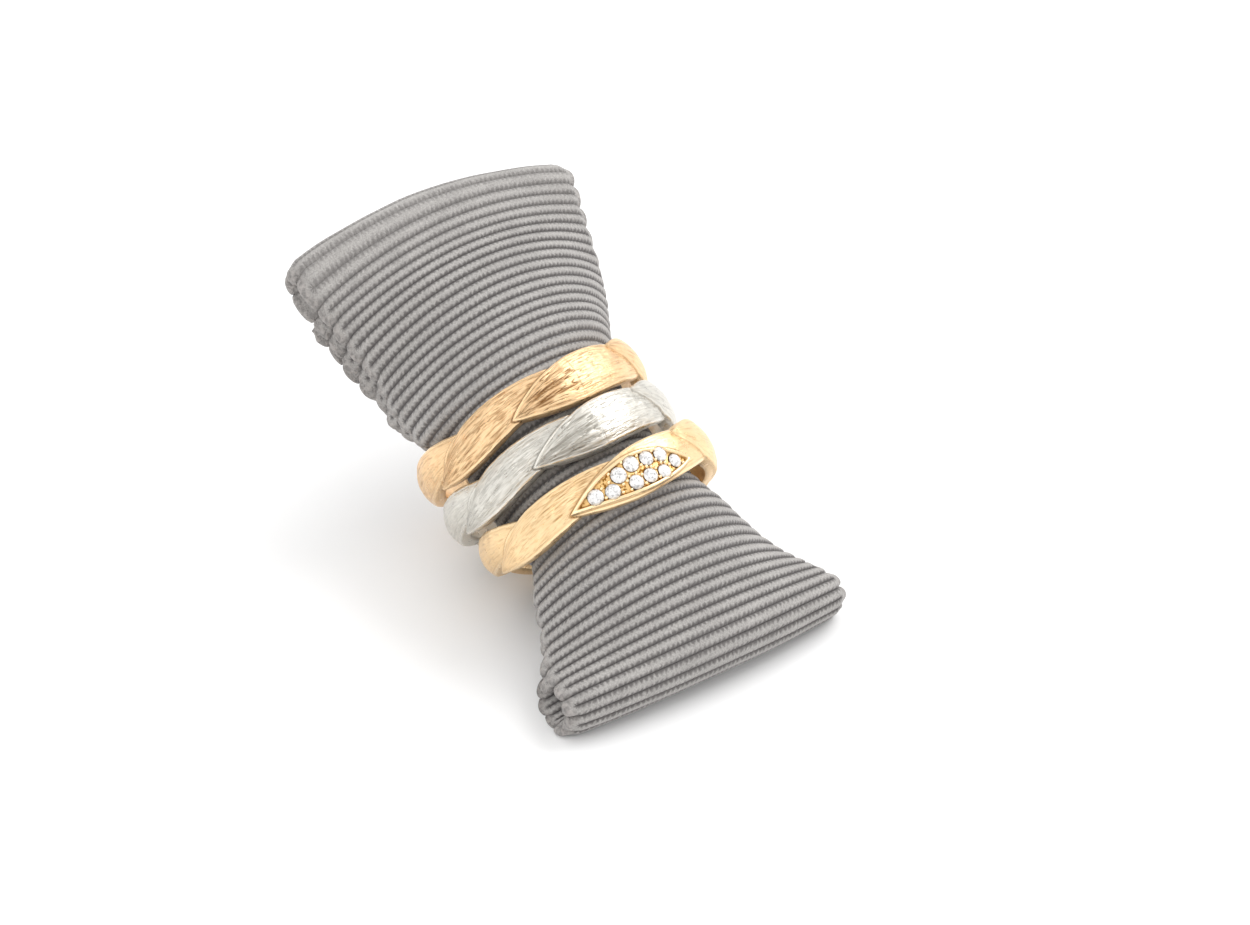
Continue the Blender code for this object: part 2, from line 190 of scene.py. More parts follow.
LEAVES = [
    {"tip": -90, "stem": 14, "tip_x": 1.8, "bow_x": -0.3, "stem_x": -0.6,
     "half": 1.65, "blunt": 0.35, "taper": 85},
    {"tip": -37, "stem": 62, "tip_x": 1.25, "bow_x": -0.3, "stem_x": -0.3,
     "half": 1.95, "blunt": 0.42, "taper": 63},
    {"tip": 27, "stem": 118, "tip_x": -1.5, "bow_x": 0.3, "stem_x": 0.6,
     "half": 1.8, "blunt": 0.3, "taper": 63},
    {"tip": 92, "stem": 182, "tip_x": 1.5, "bow_x": 0.1, "stem_x": -0.7,
     "half": 1.6, "blunt": 0.5, "taper": 63},
    {"tip": 150, "stem": 240, "tip_x": 1.3, "bow_x": 0.1, "stem_x": -0.6,
     "half": 1.45, "blunt": 0.5, "taper": 63},
    {"tip": 212, "stem": 302, "tip_x": 0.4, "bow_x": -1.0, "stem_x": 0.3,
     "half": 1.5, "blunt": 0.5, "taper": 63},
]

# Surface of the rings: how finely it is divided, how its edges round and its leaves overlap
RING_STEPS = 1200
RING_COLUMNS = 64
EDGE_CROWDING = 0.35
COLUMN_INSET = 0.0005
BORE_COLUMNS = 6
BORE_ROUND = 0.18
BORE_CORNER = 0.3
UNROLLED_RADIUS = 9.7
OUTLINE_PLACES = np.linspace(0.0, 1.0, 60)
OUTLINE_MARGIN = 0.1
LEAST_HALF_WIDTH = 0.05
LEAF_LEAD = 60.0
LEAF_ROUND = 0.12
LEAF_STEP = 0.14
LEAF_GAP_DEPTH = 0.3
OVERLAP_SOFTNESS = 0.02
TIP_DOME = 0.6
# A crease sinks along the edge of each leaf that lies on another, and is painted dark there as shade
CREASE_DEPTH = 0.06
CREASE_WIDTH = 0.09
CREASE_BEFORE_TIP = 0.08
CREASE_LEAD = 0.02
SWELL = 0.03
SWELL_GRID = (90, 9)
SWELL_WIDTH = 8.0
NO_LEAF = 9.0

# Lines along a leaf's edge: distance inside it, and width. SOFT_LEAVES keep only this share of
# them, and they come in as a leaf's half width grows over FULL_LINES_SPAN.
RIM_HEIGHT = 0.025
RIM_LINE = (0.15, 0.07)
# Painted highlight: a bright line just inside each leaf's edge
RIM_HIGHLIGHT_LINE = (0.12, 0.08)
GROOVE_LINE = (0.3, 0.07)
GROOVE_SHADE = 0.25
GROOVE_SHADE_LINE = (0.29, 0.05)
SOFT_LEAVES = {2: 0.12, 3: 0.4}
FULL_LINES_SPAN = (0.15, 0.9)
CUT_EDGE_SPAN = (0.06, 0.25)
# Cuts are painted dark as shade, fully from DARKEST_CUT deep
DARKEST_CUT = 0.06
LEAF_GRAIN_SHIFT = 20.0

# Tray in the yellow ring's front leaf: a lens between two angles from the ring's top. Its middle
# line has a start, a bow and an end across the band.
TRAY_START = -37.5
TRAY_END = 29.5
TRAY_MIDDLE = (1.2, -0.1, 0.9)
TRAY_HALF = 1.6
TRAY_FULLNESS = 0.8
TRAY_SKEW = 1.2
TRAY_RIM = 0.32
TRAY_RIM_SPAN = (0.0, 0.09)
TRAY_FLOOR_SPAN = (TRAY_RIM - 0.04, TRAY_RIM + 0.05)
TRAY_FLOOR_RADIUS = 9.79
TRAY_RIM_RADIUS = 10.0
TRAY_RIM_CROWN = 0.07
# Painted shade along the tray's outer edge and along the foot of its rim inside: strength, then lines as
# distance inside the tray and width
TRAY_SHADE = 0.8
TRAY_OUTER_LINE = (-0.04, 0.05)
TRAY_INNER_LINE = (TRAY_RIM + 0.04, 0.06)
STONES = [
    {"angle": -23.0, "along": 0.85, "diameter": 1.25},
    {"angle": -15.0, "along": 1.05, "diameter": 1.2},
    {"angle": -9.5, "along": 0.1, "diameter": 1.25},
    {"angle": -2.0, "along": -0.3, "diameter": 1.25},
    {"angle": 6.0, "along": -0.25, "diameter": 1.15},
    {"angle": 13.5, "along": -0.15, "diameter": 1.15},
    {"angle": -3.5, "along": 1.15, "diameter": 1.15},
    {"angle": 4.0, "along": 1.1, "diameter": 1.15},
    {"angle": 11.5, "along": 1.2, "diameter": 1.1},
    {"angle": 19.5, "along": 0.7, "diameter": 1.1},
]
GIRDLE_RADIUS = 9.86
SEAT_GAP = 0.015
SEAT_TOP = 0.1
SEAT_DEPTH = 0.5
GRAIN_RADIUS = 0.15
GRAIN_REACH = 0.17
GRAIN_HEIGHT = 0.02
GRAIN_OVERLAP = 0.1
GRAIN_OVER_RIM = 0.02
GRAINS_AROUND = 6
GRAIN_TURNS = (0.04, 0.97)

# Round brilliant cut, as rings of points: how many, their radius and height in stone radii, and
# their turn in sixteenths
BRILLIANT = [
    (8, 0.26, 0.345, 1.0),
    (8, 0.57, 0.33, 0.0),
    (8, 0.78, 0.21, 1.0),
    (16, 1.0, 0.025, 0.0),
    (16, 1.0, -0.025, 0.0),
    (8, 0.26, -0.65, 1.0),
    (1, 0.0, -0.86, 0.0),
]
STONE_SPIN = 0.7
# Facet tones are painted reflections: each facet takes one at random, from FACET_DARK to FACET_LIGHT
FACET_TONES = (1.0, 0.9, 0.62, 0.4)
FACET_SHARES = (0.5, 0.2, 0.18, 0.12)
FACET_DARK = (0.1, 0.09, 0.09)
FACET_LIGHT = (1.0, 0.99, 0.98)

# Golds: light for their lighter grain and for the painted highlight on the rims, mid elsewhere,
# and dark for the painted shade in cuts, creases, grooves, fine strokes and the tray floor's holes
GOLD = {
    "rose_gold": {"light": (0.95, 0.69, 0.41), "mid": (0.84, 0.53, 0.28), "dark": (0.22, 0.09, 0.02)},
    "white_gold": {"light": (0.75, 0.725, 0.665), "mid": (0.60, 0.58, 0.53), "dark": (0.26, 0.24, 0.205)},
    "yellow_gold": {"light": (0.97, 0.74, 0.45), "mid": (0.88, 0.61, 0.33), "dark": (0.28, 0.12, 0.02)},
}
TRAY_GOLD = (0.84, 0.56, 0.24)
GOLD_ROUGHNESS = 0.24
SATIN_ROUGHNESS = 0.22
GOLD_RELIEF = 0.00005

# Stage, in metres: a light stands so far to the camera's right, towards it and up
FLOOR_COLOR = (0.9, 0.9, 0.9)
LIGHT_AIM = (0.0, 0.0, 0.01)
LIGHTS = [
    {"name": "key", "right": 0.38, "toward": -0.22, "up": 0.52, "size": 0.45, "energy": 2.1},
    {"name": "fill", "right": -0.3, "toward": 0.3, "up": 0.5, "size": 0.4, "energy": 0.4},
]

# Camera: which way it looks at the roll, and where the photograph's middle lies from the roll
CAMERA_AZIMUTH = 35.0
CAMERA_ELEVATION = 35.3
CAMERA_DISTANCE = 320.0
CAMERA_LENS = 118.6
AIM_RIGHT = 4.56
AIM_DOWN = 1.46


def material(name, roughness, metallic=0.0, color=(0.8, 0.8, 0.8)):
    made = bpy.data.materials.new(name)
    made.use_nodes = True
    shader = principled(made)
    shader.inputs["Base Color"].default_value = (*color, 1.0)
    shader.inputs["Metallic"].default_value = metallic
    shader.inputs["Roughness"].default_value = roughness
    return made


def principled(made):
    return made.node_tree.nodes["Principled BSDF"]


def node(tree, kind, inputs=None, **settings):
    """New shader node. An input's value is a number, a colour or another node's output."""
    made = tree.nodes.new(kind)
    for key, value in settings.items():
        setattr(made, key, value)
    for key, value in (inputs or {}).items():
        if isinstance(value, bpy.types.NodeSocket):
            tree.links.new(value, made.inputs[key])
        else:
            made.inputs[key].default_value = value
    return made


def math_node(tree, operation, first, second=0.0, third=0.0):
    made = node(tree, "ShaderNodeMath", {0: first, 1: second, 2: third}, operation=operation)
    return made.outputs[0]


def multiply(tree, first, second):
    return math_node(tree, "MULTIPLY", first, second)


def multiply_add(tree, first, second, added):
    return math_node(tree, "MULTIPLY_ADD", first, second, added)


def subtract(tree, first, second):
    return math_node(tree, "SUBTRACT", first, second)


def map_range(tree, value, low, high, start=0.0, end=1.0):
    """Value carried from low and high over to start and end, and held between them."""
    return node(tree, "ShaderNodeMapRange", {0: value, 1: low, 2: high, 3: start, 4: end}).outputs[0]


def vector(tree, x, y, z=0.0):
    return node(tree, "ShaderNodeCombineXYZ", {0: x, 1: y, 2: z}).outputs[0]


def noise(tree, place, scale, detail, roughness=0.5):
    inputs = {"Vector": place, "Scale": scale, "Detail": detail, "Roughness": roughness}
    return node(tree, "ShaderNodeTexNoise", inputs).outputs["Fac"]


def attribute(tree, name):
    return node(tree, "ShaderNodeAttribute", attribute_name=name).outputs["Fac"]


def object_place(tree):
    return node(tree, "ShaderNodeTexCoord").outputs["Object"]


def ramp(tree, value, first, last):
    """Colour between two stops along a value. A stop is a place and a colour."""
    made = node(tree, "ShaderNodeValToRGB", {0: value})
    for element, (place, color) in zip(made.color_ramp.elements, (first, last)):
        element.position = place
        element.color = (*color, 1.0)
    return made.outputs["Color"]


def mix(tree, factor, first, second):
    """Colour between two, each a colour or another node's output."""
    made = node(tree, "ShaderNodeMix", data_type="RGBA")
    sockets = [socket for socket in made.inputs if socket.enabled]
    for socket, value in zip(sockets, (factor, first, second)):
        if isinstance(value, bpy.types.NodeSocket):
            tree.links.new(value, socket)
        elif isinstance(value, tuple):
            socket.default_value = (*value, 1.0)
        else:
            socket.default_value = value
    return made.outputs["Result"]


def add_relief(made, height, distance):
    """Bumps a material's surface by a height, which is worth a distance in metres."""
    inputs = {"Height": height, "Strength": 1.0, "Distance": distance}
    bump = node(made.node_tree, "ShaderNodeBump", inputs)
    made.node_tree.links.new(bump.outputs[0], principled(made).inputs["Normal"])


def smooth(value, low, high):
    """Smooth step from 0 at low to 1 at high."""
    t = np.clip((value - low) / (high - low), 0.0, 1.0)
    return t * t * (3 - 2 * t)


def between(value, rise, fall):
    """Smooth rise from 0 to 1 over one span, and fall back to 0 over another."""
    return smooth(value, *rise) * (1 - smooth(value, *fall))


def ridge(value, middle, width):
    return np.exp(-((value - middle) / width) ** 2)


def rounded(inside, reach):
    """Height of a round edge below the surface, at a distance inside its outline."""
    inside = np.clip(inside, 0.0, reach)
    return np.sqrt(reach ** 2 - (reach - inside) ** 2) - reach


def curved(along, start, bow, end):
    """Value from start at 0 to end at 1, drawn towards bow on the way."""
    back = 1 - along
    return back * back * start + 2 * along * back * bow + along * along * end


def lattice_noise(rng, shape, first, second):
    """Smooth seeded noise from -1 to 1, read at places from 0 to 1 along two sides of a grid."""
    grid = rng.uniform(-1.0, 1.0, shape)
    rows = np.clip(first, 0.0, 1.0) * (shape[0] - 1)
    columns = np.clip(second, 0.0, 1.0) * (shape[1] - 1)
    row = np.minimum(rows.astype(int), shape[0] - 2)
    column = np.minimum(columns.astype(int), shape[1] - 2)
    down = smooth(rows - row, 0.0, 1.0)
    over = smooth(columns - column, 0.0, 1.0)
    upper = grid[row, column] * (1 - over) + grid[row, column + 1] * over
    lower = grid[row + 1, column] * (1 - over) + grid[row + 1, column + 1] * over
    return upper * (1 - down) + lower * down


def new_object(name, mesh):
    made = bpy.data.objects.new(name, mesh)
    bpy.context.scene.collection.objects.link(made)
    return made


def new_piece(name, points, faces, values):
    """Mesh piece from points in millimetres, with named numbers at its points."""
    mesh = bpy.data.meshes.new(name)
    mesh.from_pydata((points.reshape(-1, 3) * MM).tolist(), [], faces)
    for key, numbers in values.items():
        layer = mesh.attributes.new(key, "FLOAT", "POINT")
        layer.data.foreach_set("value", np.asarray(numbers, np.float32).ravel())
    mesh.shade_smooth()
    return new_object(name, mesh)


def mesh_from(work, name):
    mesh = bpy.data.meshes.new(name)
    work.to_mesh(mesh)
    work.free()
    return mesh


def grid_faces(rows, columns, around_rows):
    """Quads of a grid that closes over its columns, and over its rows where it goes all round."""
    row = np.arange(rows if around_rows else rows - 1)[:, None]
    column = np.arange(columns)[None, :]
    after = (column + 1) % columns
    below = (row + 1) % rows
    first = (row * columns + column, row * columns + after)
    last = (below * columns + after, below * columns + column)
    return np.stack(first + last, axis=-1).reshape(-1, 4).tolist()


def section_at(along):
    """Smooth values between the places of SECTIONS, for an array of places along the roll."""
    places = np.array(SECTIONS["along"])
    low = np.clip(np.searchsorted(places, along) - 1, 0, len(places) - 2)
    before = np.maximum(low - 1, 0)
    after = np.minimum(low + 2, len(places) - 1)
    span = places[low + 1] - places[low]
    t = np.clip((along - places[low]) / span, 0.0, 1.0)
    values = {}
    for key in ("half_width", "crown", "bend", "side"):
        known = np.array(SECTIONS[key])
        slope_in = (known[low + 1] - known[before]) / (places[low + 1] - places[before]) * span
        slope_out = (known[after] - known[low]) / (places[after] - places[low]) * span
        values[key] = (
            (2 * t ** 3 - 3 * t ** 2 + 1) * known[low]
            + (t ** 3 - 2 * t ** 2 + t) * slope_in
            + (3 * t ** 2 - 2 * t ** 3) * known[low + 1]
            + (t ** 3 - t ** 2) * slope_out
        )
    return values


def rib_place(along, share):
    """Place along the roll once the ribs bow, skew and crowd. Share is the place across the
    strip from -1 to 1."""
    far = -along
    end_bow = np.where(along > 0, NEAR_BOW, -FAR_BOW)
    end = np.where(along > 0, NEAR_END, FAR_END)
    bow = end_bow * (along / end) ** 2 - WAIST_BOW * between(far, WAIST_BOW_IN, WAIST_BOW_OUT)
    slack = FAR_SLACK - FAR_TWIST * share + FAR_CORNERS * share ** 2
    x = along + bow * (1 - share ** 2) + RIB_SKEW * np.minimum(along, 0.0) * share
    return x + FAR_CROWDING * smooth(far, *FAR_CROWDING_SPAN) - slack * smooth(far, *FAR_SLACK_SPAN)


def roll_points(along, arc, level, offset):
    """Points of the bent cloth in the world. Arc is the place across a layer, level the layer's
    middle and offset the point's height, both from the middle of the roll's thickness."""
    far = -along
    share = arc / STRIP_HALF_WIDTH
    section = section_at(along)
    widest = np.sin(np.minimum(np.radians(section["bend"]), np.pi / 2))
    middle_radius = section["half_width"] / widest - THICKNESS / 2
    layer_radius = middle_radius + level
    low_layer = np.clip(-level * LAYERS / THICKNESS, 0.0, 1.0)
    width = 1 + FAR_FLARE * smooth(far, *FAR_FLARE_SPAN) + NEAR_FLARE * smooth(along, *NEAR_FLARE_SPAN)
    width = width - UNDER_NARROWING * low_layer * between(far, NARROWING_IN, NARROWING_OUT)
    shift = NEAR_SHIFT + (FAR_SHIFT - NEAR_SHIFT) * smooth(far, *SHIFT_SPAN)
    crowding = STRIP_HALF_WIDTH / layer_radius / math.radians(MOST_BEND)
    angle = (arc * width + shift) / layer_radius / (1 + crowding ** CROWDING) ** (1 / CROWDING)
    radius = middle_radius + offset
    high_layer = np.clip(level / THICKNESS + 0.5, 0.0, 1.0)
    spread = LEFT_SPREAD * between(far, SPREAD_IN, SPREAD_OUT) * (1 - 0.5 * high_layer)
    x = rib_place(along, share)
    y = section["side"] + radius * np.sin(angle) - spread * np.clip(-share, 0.0, 1.0) ** 2
    z = section["crown"] - THICKNESS / 2 - middle_radius + radius * np.cos(angle)
    tilt = math.radians(ROLL_TILT)
    world = (
        x * math.cos(tilt) + z * math.sin(tilt) + BASE_SHIFT[0],
        y + BASE_SHIFT[1],
        z * math.cos(tilt) - x * math.sin(tilt) + ROLL_HEIGHT,
    )
    return np.stack(world, axis=-1)


def strip_path():
    """Stretches of the strip from its hidden end to its end under the roll. Each has its first
    and last place in ribs and a function from 0 to 1 that gives the place along the roll, the
    layer's middle and the direction out of its outer face, along the roll and out of it."""
    pitch = THICKNESS / LAYERS
    far_radius = pitch / 2
    near_radius = pitch
    far_turn = FAR_END + pitch
    near_turn = NEAR_END - THICKNESS / 2

    def sag(along):
        return UNDER_SAG * np.maximum(along - SAG_START, 0.0) / (NEAR_END - SAG_START)

    def middle(t):
        along = MIDDLE_LAYER_END + (far_turn - MIDDLE_LAYER_END) * t
        return along, 0.0, 0.0, -1.0

    def far_fold(t):
        turn = np.pi * t
        along = far_turn - far_radius * np.sin(turn)
        return along, far_radius * (1 - np.cos(turn)), -np.sin(turn), -np.cos(turn)

    def top(t):
        return far_turn + (near_turn - far_turn) * t, pitch, 0.0, 1.0

    def near_fold(t):
        turn = np.pi * t
        along = near_turn + near_radius * np.sin(turn)
        sink = sag(along) / 2
        return along, (near_radius + sink) * np.cos(turn) - sink, np.sin(turn), np.cos(turn)

    def under(t):
        along = near_turn + (UNDER_LAYER_END - near_turn) * t
        return along, -pitch - sag(along), 0.0, -1.0

    return list(zip(STRETCHES, STRETCHES[1:], (middle, far_fold, top, near_fold, under)))


def strip_rows():
    """One entry for each row of the cloth's grid, from rib to rib along its path."""
    last = int(STRETCHES[-1])
    places = []
    for rib in range(last):
        spacing = HIDDEN_ROWS if rib + 1 < STRETCHES[1] else RIB_ROWS
        places += [rib + place for place in spacing]
    places.append(float(last))
    stretches = strip_path()
    values = []
    for place in places:
        start, end, path = [stretch for stretch in stretches if stretch[0] <= place][-1]
        values.append((place, *path((place - start) / (end - start))))
    keys = ("rib", "along", "level", "out_along", "out")
    return {key: np.array(column)[:, None] for key, column in zip(keys, zip(*values))}


def loop_shape(rib, first_middle, rng):
    """Distance to the nearest loop's middle, in ribs, and how far that loop reaches. The loops
    round off where the strip is cut."""
    number = np.round((rib - first_middle) / 2).astype(int)
    from_middle = np.abs(rib - first_middle - 2 * number)
    loose = rng.uniform(-LOOP_VARIATION, LOOP_VARIATION, number.max() + 1)[number]
    notch = LOOP_NOTCH * (1 - np.sqrt(np.maximum(1 - from_middle ** 2, 0.0)))
    cut_end = LOOP_NOTCH * smooth(rib, rib.max() - CUT_END_SPAN[0], rib.max() - CUT_END_SPAN[1])
    return from_middle, STRIP_HALF_WIDTH - np.maximum(notch, cut_end) + loose * (1 - from_middle ** 2)


def strip_columns(left, right):
    """Places across the strip, evenly in its middle and crowded towards its scalloped edges."""
    inner = STRIP_HALF_WIDTH - EDGE_ZONE
    spacing = np.array(EDGE_SPACING)[None, :]
    middle = np.broadcast_to(np.linspace(-inner, inner, INNER_COLUMNS), (len(left), INNER_COLUMNS))
    before = -(inner + (left - inner) * spacing[:, ::-1])
    return np.concatenate([before, middle, inner + (right - inner) * spacing], axis=1)


def both_faces(outer, inner):
    """Columns all round the strip, over its outer face and back between the edges of its inner."""
    return np.concatenate([outer, inner[:, -2:0:-1]], axis=1)


def end_faces(rows, columns, across):
    """Faces that close the strip's two cut ends."""
    faces = []
    for row, flip in ((0, True), (rows - 1, False)):
        start = row * columns
        for column in range(across - 1):
            back = (columns - column) % columns
            corners = [start + column, start + column + 1, start + columns - column - 1, start + back]
            corners = list(dict.fromkeys(corners))
            faces.append(corners[::-1] if flip else corners)
    return faces


def rest_softly(points):
    """Draws what lies low, or under the floor, in to just above the floor."""
    z = points[:, :, 2]
    pressed = SOFT_REST * np.exp(np.minimum(z / SOFT_REST, 1.0) - 1)
    points[:, :, 2] = np.where(z < SOFT_REST, pressed, z)


def cloth_shape():
    """Points of the strip's grid, how many of its columns lie on the outer face, and the numbers
    that its material reads."""
    rng = np.random.default_rng(SEED)
    rows = strip_rows()
    left_middle, left = loop_shape(rows["rib"], 1, rng)
    right_middle, right = loop_shape(rows["rib"], 0, rng)
    arc = strip_columns(left, right)
    from_middle = np.where(arc < 0, left_middle, right_middle)
    reach = np.where(arc < 0, left, right)
    turn = STRIP_HALF_WIDTH - LOOP_LENGTH
    past_turn = np.clip((np.abs(arc) - turn) / (reach - turn), 0.0, 1.0)
    from_turn = np.sqrt(from_middle ** 2 + past_turn ** 2 * (1 - from_middle ** 2))
    from_cord = np.abs(from_turn - 0.5)
    at_edge = smooth(np.abs(arc), turn - WEB_FADE, STRIP_HALF_WIDTH - LOOP_NOTCH)
    web = CORD_WEB * (1 - at_edge * smooth(from_turn, 0.5, 1.0))
    crest = CORD_CREST - LOOP_THINNING * at_edge
    fullness = np.sqrt(np.maximum(1 - np.clip(from_cord / 0.5, 0.0, 1.0) ** CORD_ROUNDNESS, 0.0))
    length_share = rows["rib"] / STRETCHES[-1]
    uneven = lattice_noise(rng, CORD_VARIATION_GRID, length_share, arc / CORD_VARIATION_WIDTH + 0.5)
    height = (web + (crest - web) * fullness) * (1 + CORD_VARIATION * uneven)

    def face(side):
        along = rows["along"] + side * rows["out_along"] * height
        return roll_points(along, arc, rows["level"], rows["level"] + side * rows["out"] * height)

    points = both_faces(face(1.0), face(-1.0))
    rest_softly(points)
    around = np.arctan2(past_turn, np.maximum(from_middle, 0.01))
    values = {
        "from_cord": from_cord,
        "along_cord": np.sign(arc) * (np.minimum(np.abs(arc), turn) + LOOP_LENGTH * LOOP_TURN * around),
        "loop": smooth(past_turn, *LOOP_SIDE_SPAN) * smooth(from_turn, *LOOP_OUTER_SPAN),
        "rib": np.broadcast_to(rows["rib"], arc.shape),
    }
    return points, arc.shape[1], {key: both_faces(numbers, numbers) for key, numbers in values.items()}


def make_cloth():
    points, across, values = cloth_shape()
    rows, columns = points.shape[:2]
    faces = grid_faces(rows, columns, False) + end_faces(rows, columns, across)
    cloth = new_piece("ribbed_cloth", points, faces, values)
    cloth.data.materials.append(cloth_material())
    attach(cloth, "root")
    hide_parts("display_roll")


def between_stitches(tree, from_cord, along_cord, rib):
    """How far a point lies between the stitches that cross the cord, which waver and come and go."""
    waver = noise(tree, vector(tree, along_cord, from_cord, rib), 2.2, 2.0)
    phase = multiply_add(tree, along_cord, 2 * math.pi / STITCH, multiply(tree, rib, 2.2))
    phase = multiply_add(tree, waver, 7.0, phase)
    strength = map_range(tree, noise(tree, object_place(tree), 2500.0, 1.0), 0.3, 0.65, 0.12, 0.5)
    stitch = multiply_add(tree, math_node(tree, "SINE", phase), strength, 0.5)
    return subtract(tree, 1.0, stitch)


def painted_groove_shade(tree, from_cord, gap, fuzz, rib, loop):
    """Painted shade down between the cords, growing with how deep a point lies between them. The far
    fold stretches the grooves open and the loops at the selvages have hardly any."""
    edge = multiply_add(tree, fuzz, 0.1, multiply_add(tree, gap, 0.22, from_cord))
    far_fold = sum(STRETCHES[1:3]) / 2
    from_fold = math_node(tree, "ABSOLUTE", subtract(tree, rib, far_fold))
    closed = map_range(tree, from_fold, 2.0, 8.0, 0.4, 1.0)
    groove = multiply(tree, map_range(tree, edge, 0.34, 0.56), closed)
    return multiply(tree, groove, multiply_add(tree, loop, -0.6, 1.0))


def cloth_material():
    made = material("ribbed_cloth", 0.9)
    tree = made.node_tree
    from_cord = attribute(tree, "from_cord")
    along_cord = attribute(tree, "along_cord")
    loop = attribute(tree, "loop")
    rib = attribute(tree, "rib")
    place = object_place(tree)
    fuzz = map_range(tree, noise(tree, place, 8000.0, 3.0), 0.3, 0.7)
    mottle = noise(tree, place, 350.0, 3.0)
    knot = map_range(tree, noise(tree, place, 3000.0, 3.0), 0.38, 0.58)
    gap = between_stitches(tree, from_cord, along_cord, rib)
    side_gap = multiply(tree, gap, map_range(tree, from_cord, 0.06, 0.3))
    tone = multiply_add(tree, fuzz, 0.45, multiply(tree, mottle, 0.4))
    # Painted shade: the gaps between the stitches at the cord's sides darken the yarn's tone
    tone = multiply_add(tree, side_gap, -0.3, tone)
    yarn = ramp(tree, tone, (0.05, CLOTH_SHADE), (0.65, CLOTH_LIGHT))
    # Painted shade darkens the grooves between the cords
    color = mix(tree, painted_groove_shade(tree, from_cord, gap, fuzz, rib, loop), yarn, CLOTH_GROOVE_SHADE)
    color = mix(tree, multiply(tree, loop, 0.55), color, mix(tree, knot, CLOTH_SHADE, CLOTH_LOOP))
    tree.links.new(color, principled(made).inputs["Base Color"])
    principled(made).inputs["Sheen Weight"].default_value = 0.15
    relief = multiply_add(tree, fuzz, 0.6, multiply(tree, side_gap, -0.8))
    relief = multiply_add(tree, multiply(tree, knot, loop), 1.5, relief)
    add_relief(made, relief, CLOTH_RELIEF)
    return made


def leaf_center(leaf, along):
    return curved(along, leaf["tip_x"], leaf["bow_x"], leaf["stem_x"])


def leaf_half_width(leaf, along):
    """Pointed at the tip, widest at the leaf's blunt value and narrower at the stem."""
    before = leaf["half"] * np.sin(np.pi / 2 * np.clip(along / leaf["blunt"], 0, 1)) ** TIP_FULLNESS
    past_widest = (along - leaf["blunt"]) / (1 - leaf["blunt"])
    after = leaf["half"] * np.cos(np.radians(leaf["taper"]) * np.clip(past_widest, 0, 1))
    return np.where(along < leaf["blunt"], before, after)


def leaf_place(leaf, degrees):
    """Place along a leaf, 0 at its tip and 1 at its stem, for angles anywhere round the ring.
    Angles up to LEAF_LEAD before the tip have a place below 0, and all others one above."""
    local = leaf["tip"] - LEAF_LEAD + np.mod(degrees - leaf["tip"] + LEAF_LEAD, 360.0)
    return (local - leaf["tip"]) / (leaf["stem"] - leaf["tip"])


def leaf_length(leaf):
    return math.radians(leaf["stem"] - leaf["tip"]) * UNROLLED_RADIUS


def closed_outline(length, center, half):
    """Outline in unrolled millimetres, along a form and across the band, from its middle line
    and half width at OUTLINE_PLACES."""
    along = OUTLINE_PLACES * length
    one = np.stack([along, center + half], axis=1)
    other = np.stack([along, center - half], axis=1)[::-1]
    return np.concatenate([one, other])


def signed_distance(along, across, outline):
    """Distance of points from a closed outline, + inside it."""
    best = np.full(along.shape, np.inf)
    inside = np.zeros(along.shape, bool)
    for (x0, y0), (x1, y1) in zip(outline, np.roll(outline, -1, axis=0)):
        run = np.array([x1 - x0, y1 - y0])
        size = max(float(run @ run), 1e-12)
        t = np.clip(((along - x0) * run[0] + (across - y0) * run[1]) / size, 0.0, 1.0)
        gap = (along - x0 - t * run[0]) ** 2 + (across - y0 - t * run[1]) ** 2
        best = np.minimum(best, gap)
        crosses = (y0 > across) != (y1 > across)
        with np.errstate(divide="ignore", invalid="ignore"):
            where = (x1 - x0) * (across - y0) / (y1 - y0) + x0
        inside ^= crosses & (along < where)
    return np.where(inside, 1.0, -1.0) * np.sqrt(best)


def distance_inside(place, length, x, outline):
    """How far a ring's grid points lie inside an outline, and -1 well away from it. Place is
    theirs along the outline, from 0 to 1 and beyond."""
    distance = np.full(x.shape, -1.0)
    near = np.broadcast_to((place > -OUTLINE_MARGIN) & (place < 1 + OUTLINE_MARGIN), x.shape)
    along = np.broadcast_to(place * length, x.shape)
    distance[near] = signed_distance(along[near], x[near], outline)
    return distance


def leaf_form(leaf, degrees, x):
    """A leaf over the ring's grid: its plain domed surface, its distance inside the outline, and
    the place along it from 0 at its tip and across it from -1 to 1."""
    length = leaf_length(leaf)
    outline = closed_outline(length, leaf_center(leaf, OUTLINE_PLACES), leaf_half_width(leaf, OUTLINE_PLACES))
    place = leaf_place(leaf, degrees)
    inner = np.clip(place, 0.0, 1.0)
    half = np.maximum(leaf_half_width(leaf, inner), LEAST_HALF_WIDTH)
    across = np.clip((x - leaf_center(leaf, inner)) / half, -1.0, 1.0)
    dome = LEAF_DOME * (1 - across ** 2) * (half / leaf["half"]) ** TIP_DOME
    return {
        "surface": EDGE_RADIUS + TIP_LIFT - (TIP_LIFT + STEM_DROP) * inner + dome,
        "distance": distance_inside(place, length, x, outline),
        "place": place,
        "along": place * length,
        "across": across,
        "half": half,
    }


def engraved(form, length, cuts, rng):
    """Depth of the strokes cut along one leaf. They follow it, so they draw together at its tip."""
    depth = np.zeros(form["across"].shape)
    along = form["along"][:, 0]
    for count, from_to, across_from_to, reaches, stroke_width, stroke_depth in cuts:
        for _ in range(count):
            middle = rng.uniform(*from_to) * length
            across = rng.uniform(*across_from_to)
            reach = rng.uniform(*reaches)
            width = rng.uniform(*CUT_WIDTHS) * stroke_width
            rows = np.nonzero(np.abs(along - middle) < reach)[0]
            if not len(rows):
                continue
            run = ((along[rows] - middle) / reach)[:, None]
            drift = rng.uniform(*CUT_DRIFT)
            aside = (form["across"][rows] - across - drift * run) * form["half"][rows] / width
            stroke = stroke_depth * rng.uniform(*CUT_DEPTHS) * (1 - run ** 2) * np.exp(-aside ** 2)
            depth[rows] = np.maximum(depth[rows], stroke)
    return depth


